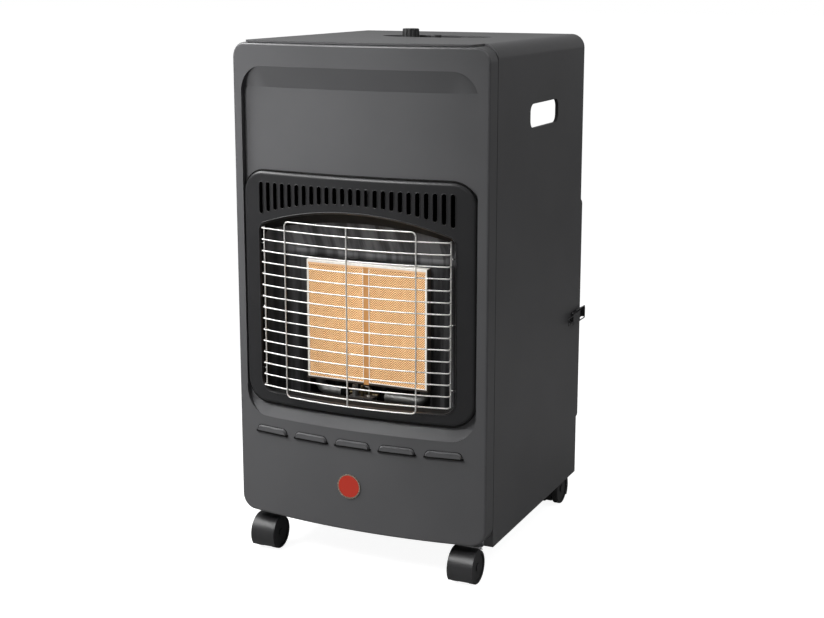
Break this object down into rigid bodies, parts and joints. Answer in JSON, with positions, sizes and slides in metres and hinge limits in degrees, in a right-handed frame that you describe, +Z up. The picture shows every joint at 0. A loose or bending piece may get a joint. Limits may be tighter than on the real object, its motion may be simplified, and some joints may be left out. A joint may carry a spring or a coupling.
{
  "type": "portable gas cabinet heater",
  "caption": "Upright sheet-steel gas heater with a bowed front, twin ceramic burner behind a wire guard, top controls, rear cylinder bay and swivel casters.",
  "frame": {"origin": "on the floor, under the middle of the bounding box", "axes": "+Z up, the front with the burner faces -Y, +X to the right as seen from the front"},
  "size_m": [0.416, 0.4503, 0.7825],
  "materials": {
    "panel_paint": "satin anthracite paint",
    "cabinet_paint": "satin anthracite paint",
    "black_enamel": "glossy black enamel",
    "guard_chrome": "chrome-plated wire",
    "reflector_steel": "bright sheet",
    "burner_trim": "bright sheet",
    "ceramic": "perforated ceramic",
    "burner_steel": "aluminised steel",
    "zinc_steel": "zinc-plated steel",
    "brass": "machined brass",
    "pipe_aluminium": "plain aluminium",
    "black_plastic": "satin black plastic",
    "steel": "turned steel",
    "white_ceramic": "glazed ceramic",
    "caster_plastic": "black plastic",
    "wheel_plastic": "black plastic"
  },
  "bodies": {
    "cabinet": {"base_tray": "zinc_steel", "burner_frame": "burner_trim", "burner_housing": "burner_steel", "cabinet_wrap": "cabinet_paint", "caster_plates": "zinc_steel", "caster_stems": "zinc_steel", "control_tray": "black_plastic", "firebox_surround": "black_enamel", "front_frame": "zinc_steel", "front_panel": "panel_paint", "gas_manifold": "brass", "gas_valve": "pipe_aluminium", "guard_loop": "guard_chrome", "guard_rows": "guard_chrome", "guard_uprights": "guard_chrome", "heat_deflector": "zinc_steel", "heat_shield": "zinc_steel", "hinge_fixed": "zinc_steel", "hinge_pins": "zinc_steel", "hose_nozzle": "brass", "igniter_body": "black_plastic", "ignition_lead": "black_plastic", "injectors": "brass", "latch_base": "zinc_steel", "mixing_tube_left": "burner_steel", "mixing_tube_right": "burner_steel", "pilot_burner": "zinc_steel", "pilot_pipe": "pipe_aluminium", "plaque_left": "ceramic", "plaque_right": "ceramic", "reflector_box": "reflector_steel", "spark_electrode": "white_ceramic", "supply_pipe": "pipe_aluminium", "thermocouple": "brass"},
    "rear_door": {"rear_cover": "cabinet_paint", "hinge_door": "zinc_steel", "latch_keeper": "zinc_steel"},
    "latch_lever": {"latch_lever": "zinc_steel"},
    "latch_bail": {"latch_bail": "zinc_steel"},
    "valve_plunger": {"valve_plunger": "steel"},
    "control_knob": {"control_knob": "black_plastic", "valve_spindle": "steel"},
    "igniter_button": {"igniter_button": "black_plastic"},
    "caster_front_left": {"caster_hood_front_left": "caster_plastic", "caster_axle_front_left": "steel"},
    "wheel_front_left_left": {"wheel_front_left_left": "wheel_plastic"},
    "wheel_front_left_right": {"wheel_front_left_right": "wheel_plastic"},
    "caster_front_right": {"caster_hood_front_right": "caster_plastic", "caster_axle_front_right": "steel"},
    "wheel_front_right_left": {"wheel_front_right_left": "wheel_plastic"},
    "wheel_front_right_right": {"wheel_front_right_right": "wheel_plastic"},
    "caster_rear_left": {"caster_hood_rear_left": "caster_plastic", "caster_axle_rear_left": "steel"},
    "wheel_rear_left_left": {"wheel_rear_left_left": "wheel_plastic"},
    "wheel_rear_left_right": {"wheel_rear_left_right": "wheel_plastic"},
    "caster_rear_right": {"caster_hood_rear_right": "caster_plastic", "caster_axle_rear_right": "steel"},
    "wheel_rear_right_left": {"wheel_rear_right_left": "wheel_plastic"},
    "wheel_rear_right_right": {"wheel_rear_right_right": "wheel_plastic"}
  },
  "joints": [
    {"name": "rear_door_hinge", "type": "hinge", "parent": "cabinet", "child": "rear_door", "pos_m": [-0.2043, 0.20715, 0.3285], "axis": [0, 0, 1], "range_deg": [0, 120]},
    {"name": "latch_lever_pivot", "type": "hinge", "parent": "cabinet", "child": "latch_lever", "pos_m": [0.2044, 0.19365, 0.324], "axis": [0, 0, 1], "range_deg": [0, 150]},
    {"name": "latch_bail_pivot", "type": "hinge", "parent": "latch_lever", "child": "latch_bail", "pos_m": [0.2044, 0.18365, 0.324], "axis": [0, 0, 1], "range_deg": [-150, 0]},
    {"name": "valve_press", "type": "slide", "parent": "cabinet", "child": "valve_plunger", "axis": [0, 0, -1], "range_m": [0, 0.004], "stiffness_N_per_m": 900, "springref_m": -0.003},
    {"name": "knob_turn", "type": "hinge", "parent": "valve_plunger", "child": "control_knob", "pos_m": [-0.026, 0.04765, 0.772], "axis": [0, 0, 1], "range_deg": [0, 210]},
    {"name": "igniter_press", "type": "slide", "parent": "cabinet", "child": "igniter_button", "axis": [0, 0, -1], "range_m": [0, 0.005], "stiffness_N_per_m": 700, "springref_m": -0.003},
    {"name": "caster_front_left_swivel", "type": "hinge", "parent": "cabinet", "child": "caster_front_left", "pos_m": [-0.163, -0.14635, 0.045], "axis": [0, 0, 1], "continuous": true},
    {"name": "wheel_front_left_left_spin", "type": "hinge", "parent": "caster_front_left", "child": "wheel_front_left_left", "pos_m": [-0.1765, -0.16835, 0.025], "axis": [1, 0, 0], "continuous": true},
    {"name": "wheel_front_left_right_spin", "type": "hinge", "parent": "caster_front_left", "child": "wheel_front_left_right", "pos_m": [-0.1495, -0.16835, 0.025], "axis": [1, 0, 0], "continuous": true},
    {"name": "caster_front_right_swivel", "type": "hinge", "parent": "cabinet", "child": "caster_front_right", "pos_m": [0.163, -0.14635, 0.045], "axis": [0, 0, 1], "continuous": true},
    {"name": "wheel_front_right_left_spin", "type": "hinge", "parent": "caster_front_right", "child": "wheel_front_right_left", "pos_m": [0.1495, -0.16835, 0.025], "axis": [1, 0, 0], "continuous": true},
    {"name": "wheel_front_right_right_spin", "type": "hinge", "parent": "caster_front_right", "child": "wheel_front_right_right", "pos_m": [0.1765, -0.16835, 0.025], "axis": [1, 0, 0], "continuous": true},
    {"name": "caster_rear_left_swivel", "type": "hinge", "parent": "cabinet", "child": "caster_rear_left", "pos_m": [-0.163, 0.17565, 0.045], "axis": [0, 0, 1], "continuous": true},
    {"name": "wheel_rear_left_left_spin", "type": "hinge", "parent": "caster_rear_left", "child": "wheel_rear_left_left", "pos_m": [-0.1765, 0.19765, 0.025], "axis": [1, 0, 0], "continuous": true},
    {"name": "wheel_rear_left_right_spin", "type": "hinge", "parent": "caster_rear_left", "child": "wheel_rear_left_right", "pos_m": [-0.1495, 0.19765, 0.025], "axis": [1, 0, 0], "continuous": true},
    {"name": "caster_rear_right_swivel", "type": "hinge", "parent": "cabinet", "child": "caster_rear_right", "pos_m": [0.163, 0.17565, 0.045], "axis": [0, 0, 1], "continuous": true},
    {"name": "wheel_rear_right_left_spin", "type": "hinge", "parent": "caster_rear_right", "child": "wheel_rear_right_left", "pos_m": [0.1495, 0.19765, 0.025], "axis": [1, 0, 0], "continuous": true},
    {"name": "wheel_rear_right_right_spin", "type": "hinge", "parent": "caster_rear_right", "child": "wheel_rear_right_right", "pos_m": [0.1765, 0.19765, 0.025], "axis": [1, 0, 0], "continuous": true}
  ],
  "couplings": [
    {"joint": "latch_bail_pivot", "follows": "latch_lever_pivot", "ratio": -1}
  ]
}
